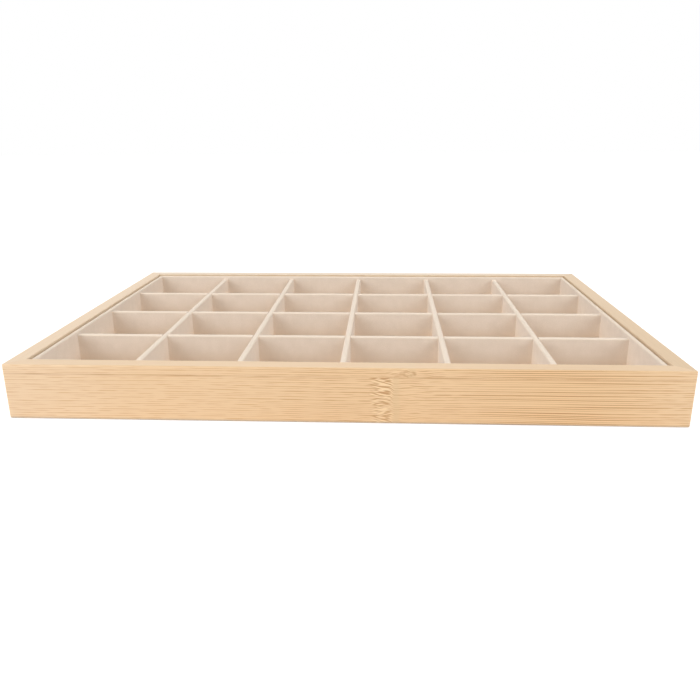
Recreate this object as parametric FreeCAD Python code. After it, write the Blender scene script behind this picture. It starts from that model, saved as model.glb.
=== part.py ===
import FreeCAD, Part
import os
from FreeCAD import Vector

# Jewellery tray: a mitred bamboo frame, a velvet-lined insert that lifts out of it, and a crate of
# half-lapped velvet dividers. Millimetres. The origin is the middle of the underside, +X runs to the
# right, +Y to the back and +Z up.

# Bamboo frame, whose upright corners are rounded a little more than its other outer edges
tray_width = 350.0
tray_depth = 240.0
tray_height = 30.0
rail_thickness = 9.0
outer_edge_radius = 0.8
corner_softening = 0.2
inner_edge_radius = 0.5

# Bottom panel, captive in a groove that runs round the rails
panel_thickness = 3.0
panel_lift = 2.0
panel_fit = 0.1
groove_depth = 4.0
groove_end_room = 0.3

# Hidden loose tongues in the mitred corners
spline_width = 7.0
spline_thickness = 2.0
spline_cover = 4.0
spline_fit = 0.1

# Insert: boards wrapped in velvet
insert_gap = 0.5
insert_drop = 1.0
base_board_thickness = 1.6
wall_board_thickness = 1.6
cloth_thickness = 0.5
board_edge_radius = 0.4
wall_turn_down = 12.0

# Dividers: wrapped boards, half-lapped where they cross
columns = 6
rows = 4
divider_board_thickness = 2.4
divider_drop = 1.8
divider_end_gap = 0.3
slot_side_gap = 0.15
lap_gap = 0.3

# Heights
panel_top = panel_lift + panel_thickness
base_top = panel_top + base_board_thickness
floor_top = base_top + cloth_thickness
wall_top = tray_height - insert_drop
divider_top = wall_top - divider_drop
lap_middle = (floor_top + divider_top) / 2

# Plan sizes
cavity_width = tray_width - 2 * rail_thickness
cavity_depth = tray_depth - 2 * rail_thickness
insert_width = cavity_width - 2 * insert_gap
insert_depth = cavity_depth - 2 * insert_gap
wall_thickness = wall_board_thickness + 2 * cloth_thickness
inner_width = insert_width - 2 * wall_thickness
inner_depth = insert_depth - 2 * wall_thickness
divider_thickness = divider_board_thickness + 2 * cloth_thickness
slot_width = divider_thickness + 2 * slot_side_gap
fold_radius = board_edge_radius + cloth_thickness
mitre_reach = 2 * rail_thickness + insert_gap + wall_thickness

# Outward direction of each side of the tray
side_normals = {
    "front": Vector(0, -1, 0),
    "back": Vector(0, 1, 0),
    "left": Vector(-1, 0, 0),
    "right": Vector(1, 0, 0),
}


def slab(width, depth, low, high):
    """A box centred on the Z axis, from height low to height high."""
    return Part.makeBox(width, depth, high - low, Vector(-width / 2, -depth / 2, low))


def ring(width, depth, wall, low, high):
    """A rectangular ring, given its outer size and its wall."""
    hole = slab(width - 2 * wall, depth - 2 * wall, low, high)
    return slab(width, depth, low, high).cut(hole)


def mitre_wedge(normal):
    """The space of one side of the tray, between the two corner mitres."""
    along = Vector(-normal.y, normal.x, 0)
    half_span = abs(normal.x) * tray_width / 2 + abs(normal.y) * tray_depth / 2
    half_length = abs(along.x) * tray_width / 2 + abs(along.y) * tray_depth / 2
    outer_left = normal * half_span - along * half_length
    outer_right = normal * half_span + along * half_length
    inner_left = normal * (half_span - mitre_reach) - along * (half_length - mitre_reach)
    inner_right = normal * (half_span - mitre_reach) + along * (half_length - mitre_reach)
    outline = Part.makePolygon([outer_left, outer_right, inner_right, inner_left, outer_left])
    return Part.Face(outline).extrude(Vector(0, 0, tray_height))


def long_top_edges(bar):
    """The two long edges of a bar's flat top; on a mitred bar the inner one comes first."""
    top_face = max(bar.Faces, key=lambda face: face.CenterOfMass.z)
    return sorted(top_face.Edges, key=lambda edge: edge.Length)[-2:]


def round_topped(bar, radius):
    """A bar with both long edges of its top rounded."""
    return bar.makeFillet(radius, long_top_edges(bar))


def corner_spline(side_x, side_y, clearance):
    """A loose tongue across one mitre, grown by clearance on every face."""
    low = panel_top + spline_cover - clearance
    high = tray_height - spline_cover + clearance
    tongue = slab(spline_width + 2 * clearance, spline_thickness + 2 * clearance, low, high)
    across_mitre = FreeCAD.Rotation(Vector(1, 0, 0), Vector(-side_y, side_x, 0))
    corner_x = side_x * (tray_width - rail_thickness) / 2
    corner_y = side_y * (tray_depth - rail_thickness) / 2
    tongue.Placement = FreeCAD.Placement(Vector(corner_x, corner_y, 0), across_mitre)
    return tongue


def corner_splines(clearance):
    """The tongues of all four corners."""
    return [corner_spline(x, y, clearance) for x in (-1, 1) for y in (-1, 1)]


def rounded_block(block):
    """A block with its upright corners and the edges of its top and underside rounded."""
    upright_edges = [edge for edge in block.Edges if edge.BoundBox.ZLength > tray_height / 2]
    block = block.makeFillet(outer_edge_radius + corner_softening, upright_edges)
    by_height = sorted(block.Faces, key=lambda face: face.CenterOfMass.z)
    return block.makeFillet(outer_edge_radius, by_height[0].Edges + by_height[-1].Edges)


def frame_rails():
    """Four mitred rails, rounded outside, grooved for the panel and slotted for the tongues."""
    outer = rounded_block(slab(tray_width, tray_depth, 0, tray_height))
    groove_width = cavity_width + 2 * groove_depth
    groove_length = cavity_depth + 2 * groove_depth
    groove = slab(groove_width, groove_length, panel_lift, panel_top + panel_fit)
    body = outer.cut(slab(cavity_width, cavity_depth, 0, tray_height)).cut(groove)
    for tongue_slot in corner_splines(spline_fit):
        body = body.cut(tongue_slot)
    rails = {}
    for side, normal in side_normals.items():
        rail = body.common(mitre_wedge(normal))
        inner_edge = long_top_edges(rail)[0]
        rails[side + "_rail"] = rail.makeFillet(inner_edge_radius, [inner_edge])
    return rails


def bottom_panel():
    """The panel that closes the frame, with room at its edges in the groove."""
    tongue = groove_depth - groove_end_room
    return slab(cavity_width + 2 * tongue, cavity_depth + 2 * tongue, panel_lift, panel_top)


def insert_base_board():
    """The stiff floor of the insert, which carries its walls."""
    board_width = insert_width - 2 * cloth_thickness
    board_depth = insert_depth - 2 * cloth_thickness
    return slab(board_width, board_depth, panel_top, base_top)


def floor_cloth():
    """The velvet floor between the wrapped walls."""
    return slab(inner_width, inner_depth, base_top, floor_top)


def insert_walls():
    """Four mitred wall boards and the velvet folded over each of them."""
    board_width = insert_width - 2 * cloth_thickness
    board_depth = insert_depth - 2 * cloth_thickness
    board_top = wall_top - cloth_thickness
    board_ring = ring(board_width, board_depth, wall_board_thickness, base_top, board_top)
    cloth_ring = ring(insert_width, insert_depth, wall_thickness, base_top, wall_top)
    below_turn_down = ring(insert_width, insert_depth, cloth_thickness, base_top, wall_top - wall_turn_down)
    walls = {}
    for side, normal in side_normals.items():
        wedge = mitre_wedge(normal)
        board = round_topped(board_ring.common(wedge), board_edge_radius)
        cover = round_topped(cloth_ring.common(wedge), fold_radius)
        walls[side + "_wall_board"] = board
        walls[side + "_wall_cloth"] = cover.cut(board).cut(below_turn_down)
    return walls


def divider_places(count, pitch):
    """Centre lines of evenly spaced dividers."""
    return [(index - (count - 1) / 2) * pitch for index in range(count)]


def wrapped_divider(length, slot_places, slot_low, slot_high):
    """A board along X and the velvet folded over its top, both cut by the slots."""
    board = slab(length, divider_board_thickness, floor_top, divider_top - cloth_thickness)
    board = round_topped(board, board_edge_radius)
    cover = slab(length, divider_thickness, floor_top, divider_top)
    cloth = round_topped(cover, fold_radius).cut(board)
    for place in slot_places:
        slot = slab(slot_width, divider_thickness, slot_low, slot_high)
        slot.translate(Vector(place, 0, 0))
        board = board.cut(slot)
        cloth = cloth.cut(slot)
    return {"board": board, "cloth": cloth}


def dividers():
    """Long dividers slotted from above, and cross dividers slotted from below."""
    column_pitch = (inner_width + divider_thickness) / columns
    row_pitch = (inner_depth + divider_thickness) / rows
    cross_places = divider_places(columns - 1, column_pitch)
    long_places = divider_places(rows - 1, row_pitch)
    long_length = inner_width - 2 * divider_end_gap
    cross_length = inner_depth - 2 * divider_end_gap
    nodes = {}
    for number, place in enumerate(long_places, start=1):
        pieces = wrapped_divider(long_length, cross_places, lap_middle - lap_gap / 2, divider_top)
        for material, piece in pieces.items():
            piece.translate(Vector(0, place, 0))
            nodes[f"long_divider_{number}_{material}"] = piece
    for number, place in enumerate(cross_places, start=1):
        pieces = wrapped_divider(cross_length, long_places, floor_top, lap_middle + lap_gap / 2)
        front_to_back = FreeCAD.Rotation(Vector(1, 0, 0), Vector(0, 1, 0))
        for material, piece in pieces.items():
            piece.Placement = FreeCAD.Placement(Vector(place, 0, 0), front_to_back)
            nodes[f"cross_divider_{number}_{material}"] = piece
    return nodes


nodes = {}
nodes.update(frame_rails())
nodes["corner_splines"] = Part.makeCompound(corner_splines(0))
nodes["bottom_panel"] = bottom_panel()
nodes["insert_base_board"] = insert_base_board()
nodes["floor_cloth"] = floor_cloth()
nodes.update(insert_walls())
nodes.update(dividers())

os.makedirs("parts", exist_ok=True)
for name, shape in nodes.items():
    shape.exportStep(f"parts/{name}.step")
    print(f"{name}: {len(shape.Solids)} solid, valid {shape.isValid()}, {shape.Volume / 1000:.2f} cm3")
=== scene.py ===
import math
import bmesh
import bpy
from mathutils import Matrix, Vector, noise


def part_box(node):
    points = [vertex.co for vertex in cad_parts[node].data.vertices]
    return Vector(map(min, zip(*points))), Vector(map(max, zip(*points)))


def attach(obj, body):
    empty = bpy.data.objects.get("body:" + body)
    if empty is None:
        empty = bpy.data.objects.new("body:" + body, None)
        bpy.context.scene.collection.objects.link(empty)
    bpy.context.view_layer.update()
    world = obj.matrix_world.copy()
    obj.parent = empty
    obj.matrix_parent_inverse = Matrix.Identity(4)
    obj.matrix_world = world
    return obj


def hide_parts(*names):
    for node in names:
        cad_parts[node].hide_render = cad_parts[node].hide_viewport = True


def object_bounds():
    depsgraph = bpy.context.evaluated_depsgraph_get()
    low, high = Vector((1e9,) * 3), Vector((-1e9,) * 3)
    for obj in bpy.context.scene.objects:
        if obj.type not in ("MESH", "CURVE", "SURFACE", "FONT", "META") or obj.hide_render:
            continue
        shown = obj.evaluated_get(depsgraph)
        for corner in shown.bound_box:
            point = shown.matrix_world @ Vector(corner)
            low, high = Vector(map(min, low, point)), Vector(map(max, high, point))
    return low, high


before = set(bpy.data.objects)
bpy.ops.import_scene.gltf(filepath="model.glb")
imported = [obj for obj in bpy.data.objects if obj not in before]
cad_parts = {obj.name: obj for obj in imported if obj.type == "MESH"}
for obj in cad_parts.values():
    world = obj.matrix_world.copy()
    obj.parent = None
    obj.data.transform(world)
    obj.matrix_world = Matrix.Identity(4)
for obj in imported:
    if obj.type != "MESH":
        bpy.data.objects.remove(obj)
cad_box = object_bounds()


def shade(red, green, blue):
    """A colour for a shader socket from a screen's levels, 0 to 255, made linear by the sRGB curve."""
    linear = []
    for level in (red, green, blue):
        part = level / 255
        linear.append(part / 12.92 if part <= 0.04045 else ((part + 0.055) / 1.055) ** 2.4)
    return (*linear, 1.0)


# Lengths below are in metres, angles in degrees and powers in watts. A span is the pair of values between
# which something fades, and levels are its strength at either end. Clouds are counted per metre along each
# axis.

# Sides of the tray, and how far each is turned from the front
side_turns = {"front": 0.0, "right": 90.0, "back": 180.0, "left": -90.0}

# Velvet sheets: thickness, radius and steps of a fold, how far a wall's sheet turns down outside, and how the
# dividers' sheets reach the walls and clear each other
velvet_thickness = 0.00046
velvet_fold = 0.0009
fold_steps = 5
wall_turn_down = 0.012
end_growth = 0.0003
slot_side_gap = 0.00003
lap_gap = 0.0003

# Cuts across the sheets, so that they can be shaped
cut_spacing = 0.0045
cut_tolerance = 1e-7
floor_cuts = (72, 48)

# Unevenness of the sheets: the nap all over and a sag along the top lines, with waves per metre
nap_depth = 0.00004
nap_waves = 90
sag_depth = 0.00020
sag_waves = 22
sag_reach = 0.006

# Seeds, so that no two sheets are uneven alike; the walls start at 0
floor_seed = 40
long_divider_seed = 10
cross_divider_seed = 20

# Bamboo of each rail and of the panel: where its knuckle is along the grain, how clearly its fibres show,
# the tint of its top, and how deep its tone is at even steps along the grain. A top's tint is partly the
# bamboo's own tone and partly painted light: a paler painted sheen on the back and left tops, and painted
# shade on the right one. The short rails' knuckles lie past their ends.
bamboo_looks = {
    "front": {
        "knuckle": 0.0259,
        "contrast": 1.0,
        "top_tint": shade(217, 188, 147),
        "tones": (0.0, 0.40, 0.50, 0.62, 0.64, 0.80, 0.50),
    },
    "right": {
        "knuckle": 0.5,
        "contrast": 0.8,
        "top_tint": shade(199, 175, 134),
        # Deeper tones stand partly for painted shade, as less light falls on this side
        "tones": (0.70, 0.60, 0.50),
    },
    "back": {
        "knuckle": -0.064,
        "contrast": 0.9,
        "top_tint": shade(214, 204, 186),
        "tones": (0.60, 0.45, 0.35, 0.25, 0.10),
    },
    "left": {
        "knuckle": 0.5,
        "contrast": 0.8,
        "top_tint": shade(219, 197, 165),
        "tones": (0.0, 0.10, 0.30),
    },
    "panel": {
        "knuckle": 0.092,
        "contrast": 1.0,
        "top_tint": shade(217, 188, 147),
        "tones": (0.40, 0.50, 0.60),
    },
}

# Shifts in the pattern of fibres, so that no two rails and no two strips of the panel are alike
rail_shift = 0.31
panel_shift = 2.7
panel_strip_width = 0.020
panel_strip_shift_along = 0.217
panel_strip_shift_across = 0.053
panel_half_length = 0.175

# Bamboo's colours
pale_wood = shade(248, 216, 178)
deep_wood = shade(242, 202, 151)
streaked_wood = shade(252, 219, 174)
pale_fibre = shade(222, 176, 124)
deep_fibre = shade(182, 127, 70)
knuckle_band = shade(230, 200, 154)
glue_brown = shade(190, 136, 82)
# Painted contact shadow for the low edges, and painted shade for the inner faces
bottom_edge_shadow = shade(136, 126, 112)
wood_in_shade = shade(190, 190, 180)

# The strip that is glued along the top of each rail
upper_strip_low = 0.0250
upper_strip_span = (upper_strip_low - 0.0001, upper_strip_low + 0.0001)
upper_strip_shift = 0.0131
upper_knuckle_shift = 0.0080
upper_streak_levels = (1.0, 0.45)

# Knuckle: the wander of its line, and spans of the distance past that line
knuckle_clouds = (0.0, 140.0, 140.0)
knuckle_detail = 4.0
knuckle_wander = 0.0036
knuckle_span = (-0.0012, 0.0012)
band_span = (0.0050, 0.0022)
band_share = 0.35
arch_start_span = (0.0020, 0.0060)
arch_end_span = (0.0220, 0.0090)

# Streaks that the fibres break into before the knuckle
streak_end_clouds = (0.0, 600.0, 600.0)
streak_end_wander = 0.0140
streak_end_span = (-0.0050, -0.0010)
streak_clouds = (160.0, 1500.0, 0.0)
streak_span = (0.42, 0.62)
streak_rise = -0.20
streak_fall = 0.16
slant_clouds = (50.0, 170.0, 170.0)
slant_span = (0.45, 0.55)
streak_share = 0.9
streak_darkness = 0.48

# Bends of the fibres across the grain
arch_clouds = (60.0, 120.0, 120.0)
arch_height = 0.0040
bend_clouds = (9.0, 16.0, 16.0)
bend_height = 0.0020
knuckle_step = 0.0011

# Threads: dashes in pale bamboo, long lines in deep bamboo away from the knuckle
thread_spacing = 0.00115
thread_clouds = (5.0, 420.0, 0.0)
thread_unevenness = 1.2
thread_span = (-0.2, 0.95)
thread_share = 0.30
dash_clouds = (100.0, 900.0, 0.0)
dash_detail = 1.0
dash_span = (0.38, 0.62)
dash_levels = (0.1, 1.0)
line_clouds = (8.0, 900.0, 0.0)
line_span = (0.36, 0.60)
line_levels = (0.3, 1.0)
line_tone_span = (0.45, 0.85)
line_tone_levels = (0.10, 0.92)
line_distance_span = (0.010, 0.050)
line_distance_levels = (0.3, 1.0)

# How clearly the fibres show, and where they are darkest
strength_span = (-0.010, 0.080)
strength_levels = (0.85, 1.20)
patch_clouds = (10.0, 40.0, 40.0)
patch_span = (0.35, 0.65)
patch_levels = (0.8, 1.1)
streak_strength = 0.3
band_strength = -0.15
dark_tone_span = (0.45, 1.0)

# Glue line under the upper strip, and the eye of that strip's own knuckle
glue_span = (0.0006, 0.0002)
glue_levels = (0.0, 0.6)
glue_clouds = (30.0, 0.0, 0.0)
glue_patch_span = (0.4, 0.65)
glue_patch_levels = (0.25, 1.0)
eye_half_length = 0.0034
eye_half_height = 0.0012
eye_middle = upper_strip_low + 0.0022
eye_rim = 0.95
eye_rim_span = (0.55, 0.05)
eye_clouds = (400.0, 500.0, 500.0)
eye_patch_span = (0.35, 0.6)
eye_patch_levels = (0.1, 0.6)

# Faces of the bamboo: plainer tops tinted by their own tone and painted light, low edges in painted contact
# shadow and inner faces in painted shade
top_facing_span = (0.4, 0.9)
top_plainness = 0.65
top_tint_and_painted_light_share = 0.5
bottom_shadow_height_span = (0.0014, 0.0002)
bottom_shadow_levels = (0.0, 0.6)
bottom_shadow_facing_span = (-0.95, -0.6)
inner_facing_span = (0.5, 0.9)
inner_levels = (0.0, 0.40)

# Lacquer on the bamboo
wood_relief = 0.12
wood_roughness_levels = (0.40, 0.52)
lacquer_weight = 0.5
lacquer_roughness = 0.35

# Velvet's pile
velvet_dark = shade(235, 221, 206)
velvet_light = shade(240, 226, 212)
velvet_stroked = shade(225, 211, 196)
velvet_nap = shade(224, 209, 193)
# Painted shade low in the compartments, and a painted highlight on the folds
velvet_painted_shade = shade(231, 210, 187)
velvet_painted_highlight = shade(246, 230, 211)
mottle_clouds = (160.0, 160.0, 160.0)
mottle_detail = 3.0
stroke_clouds = (380.0, 380.0, 40.0)
stroke_levels = (0.0, 0.12)
nap_clouds = (2600.0, 2600.0, 2600.0)
nap_levels = (0.0, 0.4)
nap_relief = 0.25
velvet_roughness = 0.95
velvet_specular = 0.15
sheen_weight = 0.15
sheen_roughness = 0.45
sheen_tint = (1.0, 0.94, 0.88, 1.0)

# Painted shade: velvet's tone is deeper and warmer low in the compartments, less so on their floors; and a
# painted highlight makes the folds along the tops paler
painted_shade_height_span = (0.020, 0.008)
painted_shade_levels = (0.0, 0.60)
painted_shade_facing_span = (0.5, 0.9)
painted_shade_facing_levels = (1.0, 0.5)
highlight_facing_span = (0.1, 0.6)
highlight_height_span = (0.020, 0.024)
highlight_share = 0.80

# Greyboard
board_dark = shade(158, 150, 139)
board_light = shade(176, 168, 156)
board_fleck = shade(112, 104, 96)
pulp_clouds = (900.0, 900.0, 900.0)
pulp_detail = 4.0
pulp_relief = 0.15
fleck_clouds = (2400.0, 2400.0, 2400.0)
fleck_detail = 1.0
fleck_span = (0.62, 0.70)
fleck_share = 0.5
board_roughness = 0.9

# What the finishes share
whole_span = (0.0, 1.0)
cloud_span = (0.3, 0.7)
cloud_detail = 2.0
plain_detail = 0.0
relief_depth = 0.0002

# Studio: a white floor, a white world and three softboxes, each with its place and power
white = (1.0, 1.0, 1.0, 1.0)
floor_half_size = 4.0
floor_lit_tone = (0.86, 0.86, 0.86, 1.0)
floor_seen_tone = (0.62, 0.62, 0.62, 1.0)
floor_glow_span = (0.25, 0.70)
floor_glow_levels = (0.64, 1.0)
world_levels = (0.22, 1.0)
softbox_size = 1.2
softboxes = {
    "left_softbox": ((-1.3, -0.72, 0.95), 19.8),
    "right_softbox": ((1.3, -0.72, 0.95), 16.0),
    "back_softbox": ((0.0, 1.0, 1.45), 7.8),
}

# How far the rails stand clear of the floor, which they touch only in places
standing_gap = 0.0003

# Photograph's camera, its lens and sensor in millimetres
camera_place = (0.0217086, -0.4428136, 0.1430309)
camera_pitch = 17.776
camera_yaw = -3.031
camera_roll = 0.411
camera_lens = 35.205
camera_sensor = 36.0
camera_clip_start = 0.01


def add_node(tree, kind, inputs=None, **options):
    """A new shader node, with its options set and its inputs linked or given a value."""
    node = tree.nodes.new(kind)
    for option, value in options.items():
        setattr(node, option, value)
    for socket, value in (inputs or {}).items():
        if isinstance(value, bpy.types.NodeSocket):
            tree.links.new(value, node.inputs[socket])
        else:
            node.inputs[socket].default_value = value
    return node


def calculate(tree, operation, *values):
    """The result of one Math node."""
    return add_node(tree, "ShaderNodeMath", dict(enumerate(values)), operation=operation).outputs[0]


def blend(tree, share, first, second):
    """A value that goes from one to another as the share goes from 0 to 1."""
    return calculate(tree, "MULTIPLY_ADD", calculate(tree, "SUBTRACT", second, first), share, first)


def fade(tree, value, span, levels=whole_span):
    """A value that goes smoothly through the levels while another goes through the span."""
    limits = {"From Min": span[0], "From Max": span[1], "To Min": levels[0], "To Max": levels[1]}
    limits["Value"] = value
    return add_node(tree, "ShaderNodeMapRange", limits, interpolation_type="SMOOTHSTEP").outputs["Result"]


def clouds(tree, place, per_metre, detail=cloud_detail):
    """Soft noise with so many clouds per metre along each axis."""
    stretched = add_node(tree, "ShaderNodeVectorMath", {0: place, 1: per_metre}, operation="MULTIPLY")
    noise_inputs = {"Vector": stretched.outputs["Vector"], "Scale": 1.0, "Detail": detail}
    return add_node(tree, "ShaderNodeTexNoise", noise_inputs).outputs["Fac"]


def mix_colour(tree, share, first, second):
    """A colour that goes from one to another as the share goes from 0 to 1."""
    # Colours go into a Mix node by its sockets 6 and 7, and come out of socket 2
    inputs = {0: share, 6: first, 7: second}
    return add_node(tree, "ShaderNodeMix", inputs, data_type="RGBA").outputs[2]


def split_axes(tree, vector):
    """The X, Y and Z of a vector."""
    return add_node(tree, "ShaderNodeSeparateXYZ", {0: vector}).outputs


def join_axes(tree, along, across, height=0.0):
    """A place with so much X, Y and Z."""
    return add_node(tree, "ShaderNodeCombineXYZ", {"X": along, "Y": across, "Z": height}).outputs[0]


def facing(tree, normal, direction):
    """How far a normal points a given way, from -1, straight against it, to 1, straight along it."""
    inputs = {0: normal, 1: direction}
    return add_node(tree, "ShaderNodeVectorMath", inputs, operation="DOT_PRODUCT").outputs["Value"]


def relief(tree, strength, height):
    """A normal that is bumpy where the height changes."""
    inputs = {"Strength": strength, "Distance": relief_depth, "Height": height}
    return add_node(tree, "ShaderNodeBump", inputs).outputs["Normal"]


def new_material(name):
    """An empty material and its node tree, with the output node in place."""
    material = bpy.data.materials.new(name)
    material.use_nodes = True
    tree = material.node_tree
    tree.nodes.clear()
    output = add_node(tree, "ShaderNodeOutputMaterial")
    return material, tree, output


def add_surface(tree, output, inputs):
    """The Principled surface of a material."""
    surface = add_node(tree, "ShaderNodeBsdfPrincipled", inputs)
    tree.links.new(surface.outputs[0], output.inputs["Surface"])


def new_group(name, inputs, outputs):
    """An empty shader node group with named sockets, and the values that come into it."""
    group = bpy.data.node_groups.new(name, "ShaderNodeTree")
    for socket, kind in inputs.items():
        group.interface.new_socket(socket, in_out="INPUT", socket_type="NodeSocket" + kind)
    for socket, kind in outputs.items():
        group.interface.new_socket(socket, in_out="OUTPUT", socket_type="NodeSocket" + kind)
    return group, add_node(group, "NodeGroupInput").outputs


def past_knuckle(group, place, along, knuckle, upper):
    """Distance past the knuckle, whose line wanders a little and lies further along in the upper strip."""
    wander = clouds(group, place, knuckle_clouds, knuckle_detail)
    wander = calculate(group, "MULTIPLY_ADD", wander, knuckle_wander, -knuckle_wander / 2)
    line = calculate(group, "ADD", knuckle, wander)
    line = calculate(group, "MULTIPLY_ADD", upper, upper_knuckle_shift, line)
    return calculate(group, "SUBTRACT", along, line)


def streaked_zone(group, place, past, after, upper):
    """Where the fibres break into streaks, before the knuckle and less in the upper strip."""
    before = calculate(group, "SUBTRACT", 1.0, after)
    wander = clouds(group, place, streak_end_clouds)
    start = calculate(group, "MULTIPLY_ADD", wander, streak_end_wander, past)
    zone = calculate(group, "MULTIPLY", fade(group, start, streak_end_span), before)
    return calculate(group, "MULTIPLY", zone, fade(group, upper, whole_span, upper_streak_levels))


def bent_across(group, place, across, past, after, upper):
    """Places across the grain, where fibres bend gently along the rail and arch after the knuckle."""
    arched = fade(group, past, arch_start_span)
    arched = calculate(group, "MULTIPLY", arched, fade(group, past, arch_end_span))
    arch = calculate(group, "SUBTRACT", clouds(group, place, arch_clouds), 0.5)
    arch = calculate(group, "MULTIPLY", arch, calculate(group, "MULTIPLY", arched, arch_height))
    bend = calculate(group, "SUBTRACT", clouds(group, place, bend_clouds), 0.5)
    shift = calculate(group, "MULTIPLY_ADD", bend, bend_height, arch)
    shift = calculate(group, "MULTIPLY_ADD", after, knuckle_step, shift)
    shift = calculate(group, "MULTIPLY_ADD", upper, upper_strip_shift, shift)
    return calculate(group, "ADD", across, shift)


def threads(group, along, across, deep, past):
    """Dark threads side by side, not quite evenly; in deep bamboo, short dashes grow into long lines."""
    bent = join_axes(group, along, across)
    turns = calculate(group, "DIVIDE", across, thread_spacing)
    uneven = clouds(group, bent, thread_clouds, plain_detail)
    turns = calculate(group, "MULTIPLY_ADD", uneven, thread_unevenness, turns)
    wave = calculate(group, "SINE", calculate(group, "MULTIPLY", turns, 2 * math.pi))
    thread = fade(group, wave, thread_span)
    short_breaks = fade(group, clouds(group, bent, dash_clouds, dash_detail), dash_span, dash_levels)
    long_breaks = fade(group, clouds(group, bent, line_clouds, plain_detail), line_span, line_levels)
    dashes = calculate(group, "MULTIPLY", thread, short_breaks)
    lines = calculate(group, "MULTIPLY", thread, long_breaks)
    longer = fade(group, deep, line_tone_span, line_tone_levels)
    distance = calculate(group, "ABSOLUTE", past)
    undisturbed = fade(group, distance, line_distance_span, line_distance_levels)
    longer = calculate(group, "MULTIPLY", longer, undisturbed)
    return blend(group, longer, dashes, lines)


def slanted_streaks(group, along, across, slope):
    """Short streaks that slant across the grain."""
    slanted = join_axes(group, along, calculate(group, "MULTIPLY_ADD", along, slope, across))
    return fade(group, clouds(group, slanted, streak_clouds, plain_detail), streak_span)


def streaks(group, place, along, across):
    """Streaks before the knuckle, which rise in some patches and fall in others."""
    rise = slanted_streaks(group, along, across, streak_rise)
    fall = slanted_streaks(group, along, across, streak_fall)
    return blend(group, fade(group, clouds(group, place, slant_clouds), slant_span), rise, fall)


def glue_line(group, place, height):
    """The line of glue under the upper strip, clearer in some patches than in others."""
    distance = calculate(group, "ABSOLUTE", calculate(group, "SUBTRACT", height, upper_strip_low))
    line = fade(group, distance, glue_span, glue_levels)
    patches = fade(group, clouds(group, place, glue_clouds), glue_patch_span, glue_patch_levels)
    return calculate(group, "MULTIPLY", line, patches)


def knuckle_eye(group, place, height, past, upper):
    """The rim of the almond-shaped eye in the upper strip's knuckle."""
    along = calculate(group, "POWER", calculate(group, "DIVIDE", past, eye_half_length), 2.0)
    up = calculate(group, "DIVIDE", calculate(group, "SUBTRACT", height, eye_middle), eye_half_height)
    size = calculate(group, "SQRT", calculate(group, "MULTIPLY_ADD", up, up, along))
    rim = calculate(group, "ABSOLUTE", calculate(group, "SUBTRACT", size, eye_rim))
    patches = fade(group, clouds(group, place, eye_clouds), eye_patch_span, eye_patch_levels)
    rim = calculate(group, "MULTIPLY", fade(group, rim, eye_rim_span), patches)
    return calculate(group, "MULTIPLY", rim, upper)


def bamboo_grain():
    """Bamboo fibres along X, with one knuckle and a separate strip glued along the top."""
    inputs = {"Place": "Vector", "Knuckle": "Float", "Tone": "Float", "Contrast": "Float"}
    inputs["Facing Up"] = "Float"
    group, inlet = new_group("bamboo_grain", inputs, {"Color": "Color", "Fibre": "Float"})
    place = inlet["Place"]
    axes = split_axes(group, place)
    along = axes["X"]
    height = axes["Z"]
    deep = fade(group, inlet["Tone"], whole_span)
    upper = fade(group, height, upper_strip_span)
    past = past_knuckle(group, place, along, inlet["Knuckle"], upper)
    after = fade(group, past, knuckle_span)
    band = calculate(group, "MULTIPLY", after, fade(group, past, band_span))
    zone = streaked_zone(group, place, past, after, upper)

    # Threads all along the rail, which give way to streaks before the knuckle
    across = bent_across(group, place, calculate(group, "ADD", axes["Y"], height), past, after, upper)
    fibre = threads(group, along, across, deep, past)
    broken = calculate(group, "SUBTRACT", streaks(group, place, along, across), fibre)
    broken = calculate(group, "MULTIPLY", broken, zone)
    fibre = calculate(group, "MULTIPLY_ADD", broken, streak_share, fibre)

    # Fibres show most well past the knuckle and in the streaks, less right after the knuckle and on tops
    patches = fade(group, clouds(group, place, patch_clouds), patch_span, patch_levels)
    strength = calculate(group, "MULTIPLY", fade(group, past, strength_span, strength_levels), patches)
    strength = calculate(group, "MULTIPLY_ADD", zone, streak_strength, strength)
    strength = calculate(group, "MULTIPLY_ADD", band, band_strength, strength)
    top = fade(group, inlet["Facing Up"], top_facing_span)
    contrast = calculate(group, "MULTIPLY_ADD", top, -top_plainness, 1.0)
    contrast = calculate(group, "MULTIPLY", inlet["Contrast"], contrast)
    strength = calculate(group, "MULTIPLY", strength, contrast)
    swing = calculate(group, "MULTIPLY", calculate(group, "SUBTRACT", fibre, thread_share), strength)
    shown = calculate(group, "ADD", swing, thread_share)

    # Wood, its fibres, the band after the knuckle, and the marks of the upper strip
    wood = mix_colour(group, deep, pale_wood, deep_wood)
    wood = mix_colour(group, zone, wood, streaked_wood)
    darkness = calculate(group, "MULTIPLY", zone, streak_darkness)
    darkness = calculate(group, "MAXIMUM", fade(group, deep, dark_tone_span), darkness)
    colour = mix_colour(group, shown, wood, mix_colour(group, darkness, pale_fibre, deep_fibre))
    colour = mix_colour(group, calculate(group, "MULTIPLY", band, band_share), colour, knuckle_band)
    eye = knuckle_eye(group, place, height, past, upper)
    marks = calculate(group, "MAXIMUM", glue_line(group, place, height), eye)
    colour = mix_colour(group, marks, colour, glue_brown)
    add_node(group, "NodeGroupOutput", {"Color": colour, "Fibre": shown})
    return group


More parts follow.
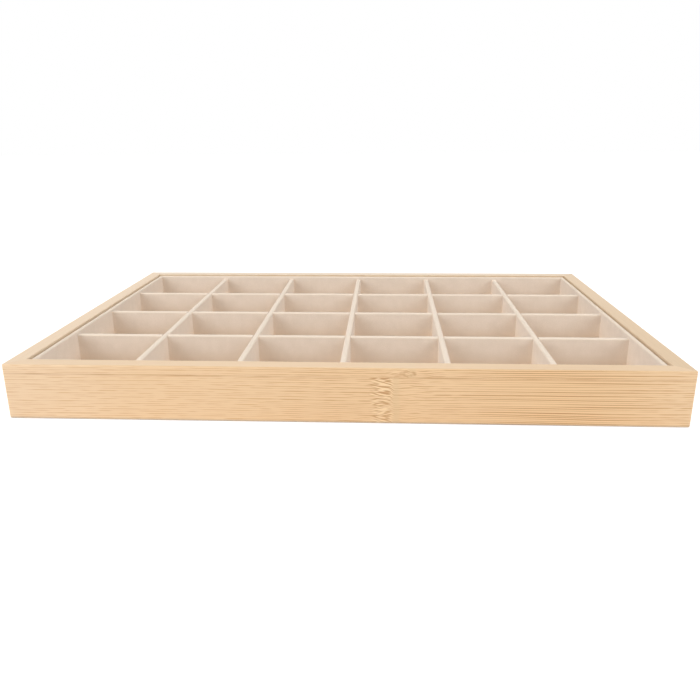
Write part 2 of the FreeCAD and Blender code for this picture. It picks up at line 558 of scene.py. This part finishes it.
def bamboo_faces():
    """Bamboo's faces: tops tinted by their own tone and painted light, low edges and inner faces in painted
    shade.
    """
    inputs = {"Color": "Color", "Top Tint": "Color", "Place": "Vector", "Facing Up": "Float"}
    inputs["Facing In"] = "Float"
    group, inlet = new_group("bamboo_faces", inputs, {"Color": "Color"})
    top = fade(group, inlet["Facing Up"], top_facing_span)
    # Tops take a tint that is partly their own tone and partly painted light
    tint_and_painted_light = calculate(group, "MULTIPLY", top, top_tint_and_painted_light_share)
    colour = mix_colour(group, tint_and_painted_light, inlet["Color"], inlet["Top Tint"])
    # Painted contact shadow along the low edges, not on the faces beneath them
    bottom_shadow = fade(group, split_axes(group, inlet["Place"])["Z"], bottom_shadow_height_span, bottom_shadow_levels)
    bottom_shadow = calculate(group, "MULTIPLY", bottom_shadow, fade(group, inlet["Facing Up"], bottom_shadow_facing_span))
    colour = mix_colour(group, bottom_shadow, colour, bottom_edge_shadow)
    # Painted shade on the inner faces, in the gap beside the insert
    inside = fade(group, inlet["Facing In"], inner_facing_span, inner_levels)
    colour = mix_colour(group, inside, colour, wood_in_shade)
    add_node(group, "NodeGroupOutput", {"Color": colour})
    return group


def stagger_strips(tree, place):
    """Places along a panel glued up from strips, each strip shifted along its grain."""
    axes = split_axes(tree, place)
    strip = calculate(tree, "FLOOR", calculate(tree, "DIVIDE", axes["Y"], panel_strip_width))
    along = calculate(tree, "MULTIPLY_ADD", strip, panel_strip_shift_along, axes["X"])
    along = calculate(tree, "WRAP", along, panel_half_length, -panel_half_length)
    across = calculate(tree, "MULTIPLY_ADD", strip, panel_strip_shift_across, axes["Y"])
    return join_axes(tree, along, across, axes["Z"])


def tone_along(tree, place, tones):
    """The bamboo's tone along its grain, going smoothly through even steps over the tray's width."""
    half = (cad_box[1].x - cad_box[0].x) / 2
    limits = {"Value": split_axes(tree, place)["X"], "From Min": -half, "From Max": half}
    share = add_node(tree, "ShaderNodeMapRange", limits).outputs["Result"]
    ramp = add_node(tree, "ShaderNodeValToRGB", {"Fac": share})
    ramp.color_ramp.interpolation = "CARDINAL"
    stops = ramp.color_ramp.elements
    for step in range(1, len(tones) - 1):
        stops.new(step / (len(tones) - 1))
    for stop, tone in zip(stops, tones):
        stop.color = (tone, tone, tone, 1.0)
    return ramp.outputs["Color"]


def bamboo_finish(part, grain, faces, turn, shift, in_strips=False):
    """Lacquered bamboo for a part that is turned by so many degrees, with fibres that run along it."""
    look = bamboo_looks[part]
    material, tree, output = new_material("bamboo_" + part)
    coordinates = add_node(tree, "ShaderNodeTexCoord").outputs
    turned = {"Vector": coordinates["Object"], "Location": (0.0, shift, 0.0)}
    turned["Rotation"] = (0.0, 0.0, math.radians(-turn))
    place = add_node(tree, "ShaderNodeMapping", turned).outputs["Vector"]
    if in_strips:
        place = stagger_strips(tree, place)
    facing_up = split_axes(tree, coordinates["Normal"])["Z"]
    inward = Matrix.Rotation(math.radians(turn), 3, "Z") @ Vector((0.0, 1.0, 0.0))
    facing_in = facing(tree, coordinates["Normal"], inward)

    grain_inputs = {"Place": place, "Facing Up": facing_up}
    grain_inputs.update({"Knuckle": look["knuckle"], "Contrast": look["contrast"]})
    grain_inputs["Tone"] = tone_along(tree, place, look["tones"])
    wood = add_node(tree, "ShaderNodeGroup", grain_inputs, node_tree=grain).outputs
    face_inputs = {"Place": place, "Facing Up": facing_up, "Facing In": facing_in}
    face_inputs.update({"Color": wood["Color"], "Top Tint": look["top_tint"]})
    colour = add_node(tree, "ShaderNodeGroup", face_inputs, node_tree=faces).outputs["Color"]

    inputs = {"Base Color": colour, "Coat Weight": lacquer_weight, "Coat Roughness": lacquer_roughness}
    inputs["Roughness"] = fade(tree, wood["Fibre"], whole_span, wood_roughness_levels)
    inputs["Normal"] = relief(tree, wood_relief, calculate(tree, "SUBTRACT", 1.0, wood["Fibre"]))
    add_surface(tree, output, inputs)
    return material


def velvet_finish():
    """Short-pile velvet: a soft mottle, a fine nap, painted shade low down and a painted highlight on the
    folds.
    """
    material, tree, output = new_material("velvet_nap")
    place = add_node(tree, "ShaderNodeTexCoord").outputs["Object"]
    height = split_axes(tree, place)["Z"]
    facing_up = split_axes(tree, add_node(tree, "ShaderNodeNewGeometry").outputs["Normal"])["Z"]
    mottle = fade(tree, clouds(tree, place, mottle_clouds, mottle_detail), cloud_span)
    strokes = fade(tree, clouds(tree, place, stroke_clouds), cloud_span, stroke_levels)
    nap = clouds(tree, place, nap_clouds)
    colour = mix_colour(tree, mottle, velvet_dark, velvet_light)
    colour = mix_colour(tree, strokes, colour, velvet_stroked)
    colour = mix_colour(tree, fade(tree, nap, cloud_span, nap_levels), colour, velvet_nap)
    # Painted shade and warm bounce light low in the compartments, less on their floors
    deep = fade(tree, height, painted_shade_height_span, painted_shade_levels)
    deep = calculate(tree, "MULTIPLY", deep, fade(tree, facing_up, painted_shade_facing_span, painted_shade_facing_levels))
    colour = mix_colour(tree, deep, colour, velvet_painted_shade)
    # Painted highlight on the folds along the tops
    painted_highlight = fade(tree, facing_up, highlight_facing_span)
    painted_highlight = calculate(tree, "MULTIPLY", painted_highlight, fade(tree, height, highlight_height_span))
    colour = mix_colour(tree, calculate(tree, "MULTIPLY", painted_highlight, highlight_share), colour, velvet_painted_highlight)
    inputs = {"Base Color": colour, "Roughness": velvet_roughness, "Specular IOR Level": velvet_specular}
    inputs.update({"Sheen Weight": sheen_weight, "Sheen Roughness": sheen_roughness})
    inputs.update({"Sheen Tint": sheen_tint, "Normal": relief(tree, nap_relief, nap)})
    add_surface(tree, output, inputs)
    return material


def greyboard_finish():
    """Recycled cardboard: matt grey of an uneven pulp, with dark flecks."""
    material, tree, output = new_material("greyboard_pulp")
    place = add_node(tree, "ShaderNodeTexCoord").outputs["Object"]
    pulp = clouds(tree, place, pulp_clouds, pulp_detail)
    flecks = fade(tree, clouds(tree, place, fleck_clouds, fleck_detail), fleck_span)
    colour = mix_colour(tree, fade(tree, pulp, cloud_span), board_dark, board_light)
    colour = mix_colour(tree, calculate(tree, "MULTIPLY", flecks, fleck_share), colour, board_fleck)
    normal = relief(tree, pulp_relief, pulp)
    add_surface(tree, output, {"Base Color": colour, "Roughness": board_roughness, "Normal": normal})
    return material


def seen_directly(tree):
    """1 for rays that show a surface, also in a mirror or through glass, and 0 for rays that only light."""
    rays = add_node(tree, "ShaderNodeLightPath").outputs
    seen = calculate(tree, "MAXIMUM", rays["Is Camera Ray"], rays["Is Glossy Ray"])
    return calculate(tree, "MAXIMUM", seen, rays["Is Transmission Ray"])


def floor_finish():
    """A white studio floor that still takes a soft shadow."""
    material, tree, output = new_material("studio_floor")
    seen = seen_directly(tree)
    tone = mix_colour(tree, seen, floor_lit_tone, floor_seen_tone)
    paper = add_node(tree, "ShaderNodeBsdfDiffuse", {"Color": tone})
    place = add_node(tree, "ShaderNodeTexCoord").outputs["Object"]
    away = add_node(tree, "ShaderNodeVectorMath", {0: place}, operation="LENGTH").outputs["Value"]
    strength = calculate(tree, "MULTIPLY", seen, fade(tree, away, floor_glow_span, floor_glow_levels))
    glow = add_node(tree, "ShaderNodeEmission", {"Color": white, "Strength": strength})
    surface = add_node(tree, "ShaderNodeAddShader", {0: paper.outputs[0], 1: glow.outputs[0]})
    tree.links.new(surface.outputs[0], output.inputs["Surface"])
    return material


def cut_at(bm, place, normal, trim=False):
    """Cuts a sheet along a plane, and trims off what lies past it if asked to."""
    everything = bm.verts[:] + bm.edges[:] + bm.faces[:]
    bmesh.ops.bisect_plane(bm, geom=everything, dist=cut_tolerance, plane_co=place, plane_no=normal,
                           clear_outer=trim)


def cut_every(bm, axis, start, end, spacing):
    """Cuts a sheet across an axis at even places, so that it can be shaped."""
    count = max(1, round((end - start) / spacing))
    normal = Vector((0.0, 0.0, 0.0))
    normal[axis] = 1.0
    for step in range(1, count):
        cut_at(bm, normal * (start + (end - start) * step / count), normal)


def cut_slots(bm, places, half_width, low, high):
    """Cuts slots for crossing dividers out of a strip."""
    for place in places:
        for slot_edge in (place - half_width, place + half_width):
            cut_at(bm, (slot_edge, 0.0, 0.0), (1.0, 0.0, 0.0))
    for slot_end in (low, high):
        cut_at(bm, (0.0, 0.0, slot_end), (0.0, 0.0, 1.0))
    gone = []
    for face in bm.faces:
        middle = face.calc_center_median()
        if low < middle.z < high and any(abs(middle.x - place) < half_width for place in places):
            gone.append(face)
    bmesh.ops.delete(bm, geom=gone, context="FACES")


def velvet_strip(length, thickness, outer_low, inner_low, top):
    """A strip of velvet folded over the top edge of a board along X; its outer side faces -Y."""
    bm = bmesh.new()
    start = -length / 2
    half = thickness / 2
    outline = [(-half, outer_low), (-half, top), (half, top), (half, inner_low)]
    corners = [bm.verts.new((start, across, height)) for across, height in outline]
    for first, second in zip(corners, corners[1:]):
        bm.edges.new((first, second))
    bmesh.ops.bevel(bm, geom=corners[1:3], offset=velvet_fold, offset_type="OFFSET", segments=fold_steps,
                    profile=0.5, affect="VERTICES", material=-1)
    run = bmesh.ops.extrude_edge_only(bm, edges=bm.edges[:])
    far_end = [part for part in run["geom"] if isinstance(part, bmesh.types.BMVert)]
    bmesh.ops.translate(bm, vec=(length, 0.0, 0.0), verts=far_end)
    bmesh.ops.recalc_face_normals(bm, faces=bm.faces[:])
    top_face = max(bm.faces, key=lambda face: face.calc_center_median().z)
    if top_face.normal.z < 0:
        bmesh.ops.reverse_faces(bm, faces=bm.faces[:])
    return bm


def settle(bm, top, seed):
    """Lets the nap stand unevenly and the top line sag a little, always inwards."""
    bm.normal_update()
    for vert in bm.verts:
        fine = 0.5 + 0.5 * noise.noise(vert.co * nap_waves + Vector((seed, 0.0, 0.0)))
        slow = 0.5 + 0.5 * noise.noise(Vector((vert.co.x * sag_waves, seed, 0.0)))
        near_top = max(0.0, 1 - (top - vert.co.z) / sag_reach)
        vert.co -= vert.normal * nap_depth * fine
        vert.co.z -= sag_depth * slow * near_top


def finish_piece(bm, name, turn, place, material):
    """Puts a modelled sheet in its place as a finished piece of velvet."""
    bmesh.ops.transform(bm, matrix=Matrix.Rotation(math.radians(turn), 4, "Z"), verts=bm.verts[:])
    bmesh.ops.translate(bm, vec=place, verts=bm.verts[:])
    for face in bm.faces:
        face.smooth = True
    for edge in bm.edges:
        edge.smooth = not edge.is_boundary
    mesh = bpy.data.meshes.new(name)
    bm.to_mesh(mesh)
    bm.free()
    mesh.materials.append(material)
    piece = bpy.data.objects.new(name, mesh)
    bpy.context.scene.collection.objects.link(piece)
    cloth = piece.modifiers.new("cloth", "SOLIDIFY")
    cloth.thickness = velvet_thickness
    cloth.offset = -1.0
    return piece


def wrap_divider(node, seed, turn, body, crossing, slots_open_up, material):
    """The velvet of one divider, slotted for the dividers that cross it."""
    low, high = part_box(node)
    along = 0 if turn == 0 else 1
    length = high[along] - low[along] + 2 * end_growth
    thickness = high[1 - along] - low[1 - along]
    middle = Vector(((low.x + high.x) / 2, (low.y + high.y) / 2, 0.0))
    lap = (low.z + high.z) / 2
    slot_low = lap - lap_gap / 2 if slots_open_up else low.z - lap_gap
    slot_high = high.z + lap_gap if slots_open_up else lap + lap_gap / 2
    half_slot = thickness / 2 + slot_side_gap
    bm = velvet_strip(length, thickness, low.z, low.z, high.z)
    cut_slots(bm, crossing, half_slot, slot_low, slot_high)
    cut_every(bm, 0, -length / 2, length / 2, cut_spacing)
    cut_every(bm, 2, low.z, high.z - velvet_fold, cut_spacing)
    settle(bm, high.z, seed)
    piece = finish_piece(bm, node.replace("_cloth", "_velvet"), turn, middle, material)
    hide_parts(node)
    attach(piece, body)


def wrap_wall(side, seed, material):
    """The velvet of one wall of the insert, mitred at both ends."""
    node = side + "_wall_cloth"
    low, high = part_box(node)
    turn = side_turns[side]
    along = 0 if side in ("front", "back") else 1
    length = high[along] - low[along]
    thickness = high[1 - along] - low[1 - along]
    middle = Vector(((low.x + high.x) / 2, (low.y + high.y) / 2, 0.0))
    turn_low = high.z - wall_turn_down
    bm = velvet_strip(length, thickness, turn_low, low.z, high.z)
    for end in (-1, 1):
        cut_at(bm, (end * length / 2, -thickness / 2, 0.0), (end, 1.0, 0.0), trim=True)
    cut_every(bm, 0, -length / 2, length / 2, cut_spacing)
    cut_every(bm, 2, low.z, high.z - velvet_fold, cut_spacing)
    settle(bm, high.z, seed)
    piece = finish_piece(bm, side + "_wall_velvet", turn, middle, material)
    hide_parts(node)
    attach(piece, "insert")


def lay_floor_velvet(material):
    """The velvet glued to the floor of the insert."""
    low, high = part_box("floor_cloth")
    width = high.x - low.x
    depth = high.y - low.y
    bm = bmesh.new()
    bmesh.ops.create_grid(bm, x_segments=floor_cuts[0], y_segments=floor_cuts[1], size=0.5)
    bmesh.ops.scale(bm, vec=(width, depth, 1.0), verts=bm.verts[:])
    # A top line far above the sheet, so that nothing sags
    settle(bm, 1.0, floor_seed)
    piece = finish_piece(bm, "floor_velvet", 0.0, (0.0, 0.0, high.z), material)
    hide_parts("floor_cloth")
    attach(piece, "insert")


def add_floor():
    """The studio's floor, just under the tray."""
    bm = bmesh.new()
    bmesh.ops.create_grid(bm, x_segments=1, y_segments=1, size=floor_half_size)
    bmesh.ops.translate(bm, vec=(0.0, 0.0, -standing_gap), verts=bm.verts[:])
    mesh = bpy.data.meshes.new("studio_floor")
    bm.to_mesh(mesh)
    bm.free()
    mesh.materials.append(floor_finish())
    floor = bpy.data.objects.new("studio_floor", mesh)
    bpy.context.scene.collection.objects.link(floor)


def add_world():
    """A world that is seen as white and lights the tray only a little."""
    world = bpy.data.worlds.new("studio")
    world.use_nodes = True
    tree = world.node_tree
    tree.nodes.clear()
    strength = fade(tree, seen_directly(tree), whole_span, world_levels)
    sky = add_node(tree, "ShaderNodeBackground", {"Color": white, "Strength": strength})
    output = add_node(tree, "ShaderNodeOutputWorld")
    tree.links.new(sky.outputs[0], output.inputs["Surface"])
    bpy.context.scene.world = world


def add_softbox(name, place, power):
    """A square softbox aimed at the tray."""
    lamp = bpy.data.lights.new(name, "AREA")
    lamp.size = softbox_size
    lamp.energy = power
    holder = bpy.data.objects.new(name, lamp)
    holder.location = place
    holder.rotation_euler = Vector(place).to_track_quat("Z", "Y").to_euler()
    bpy.context.scene.collection.objects.link(holder)


def add_camera():
    """The photograph's camera."""
    camera = bpy.data.cameras.new("photograph")
    camera.lens = camera_lens
    camera.sensor_width = camera_sensor
    camera.clip_start = camera_clip_start
    viewer = bpy.data.objects.new("photograph", camera)
    viewer.location = camera_place
    tilt = Matrix.Rotation(math.radians(90 - camera_pitch), 4, "X")
    heading = Matrix.Rotation(math.radians(-camera_yaw), 4, "Z")
    lean = Matrix.Rotation(math.radians(-camera_roll), 4, "Z")
    viewer.rotation_euler = (heading @ tilt @ lean).to_euler()
    bpy.context.scene.collection.objects.link(viewer)
    bpy.context.scene.camera = viewer


# The rails, panel and tongues keep their solids and are finished in bamboo, the boards in greyboard
grain = bamboo_grain()
faces = bamboo_faces()
for number, (side, turn) in enumerate(side_turns.items()):
    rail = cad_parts[side + "_rail"]
    rail.material_slots[0].material = bamboo_finish(side, grain, faces, turn, rail_shift * number)
panel_finish = bamboo_finish("panel", grain, faces, 0.0, panel_shift, in_strips=True)
for name in ("bottom_panel", "corner_splines"):
    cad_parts[name].material_slots[0].material = panel_finish
greyboard = greyboard_finish()
for name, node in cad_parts.items():
    if name.endswith("_board"):
        node.material_slots[0].material = greyboard

# Velvet in place of each plain cloth solid
velvet = velvet_finish()
long_names = [f"long_divider_{number}_cloth" for number in (1, 2, 3)]
cross_names = [f"cross_divider_{number}_cloth" for number in (1, 2, 3, 4, 5)]
long_places = [(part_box(name)[0].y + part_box(name)[1].y) / 2 for name in long_names]
cross_places = [(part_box(name)[0].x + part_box(name)[1].x) / 2 for name in cross_names]
lay_floor_velvet(velvet)
for seed, side in enumerate(side_turns):
    wrap_wall(side, seed, velvet)
for seed, name in enumerate(long_names, start=long_divider_seed):
    wrap_divider(name, seed, 0.0, "long_dividers", cross_places, True, velvet)
for seed, name in enumerate(cross_names, start=cross_divider_seed):
    wrap_divider(name, seed, 90.0, name.replace("_cloth", ""), long_places, False, velvet)

# Studio
add_floor()
add_world()
for name, (place, power) in softboxes.items():
    add_softbox(name, place, power)
add_camera()
bpy.context.scene.view_settings.view_transform = "Standard"
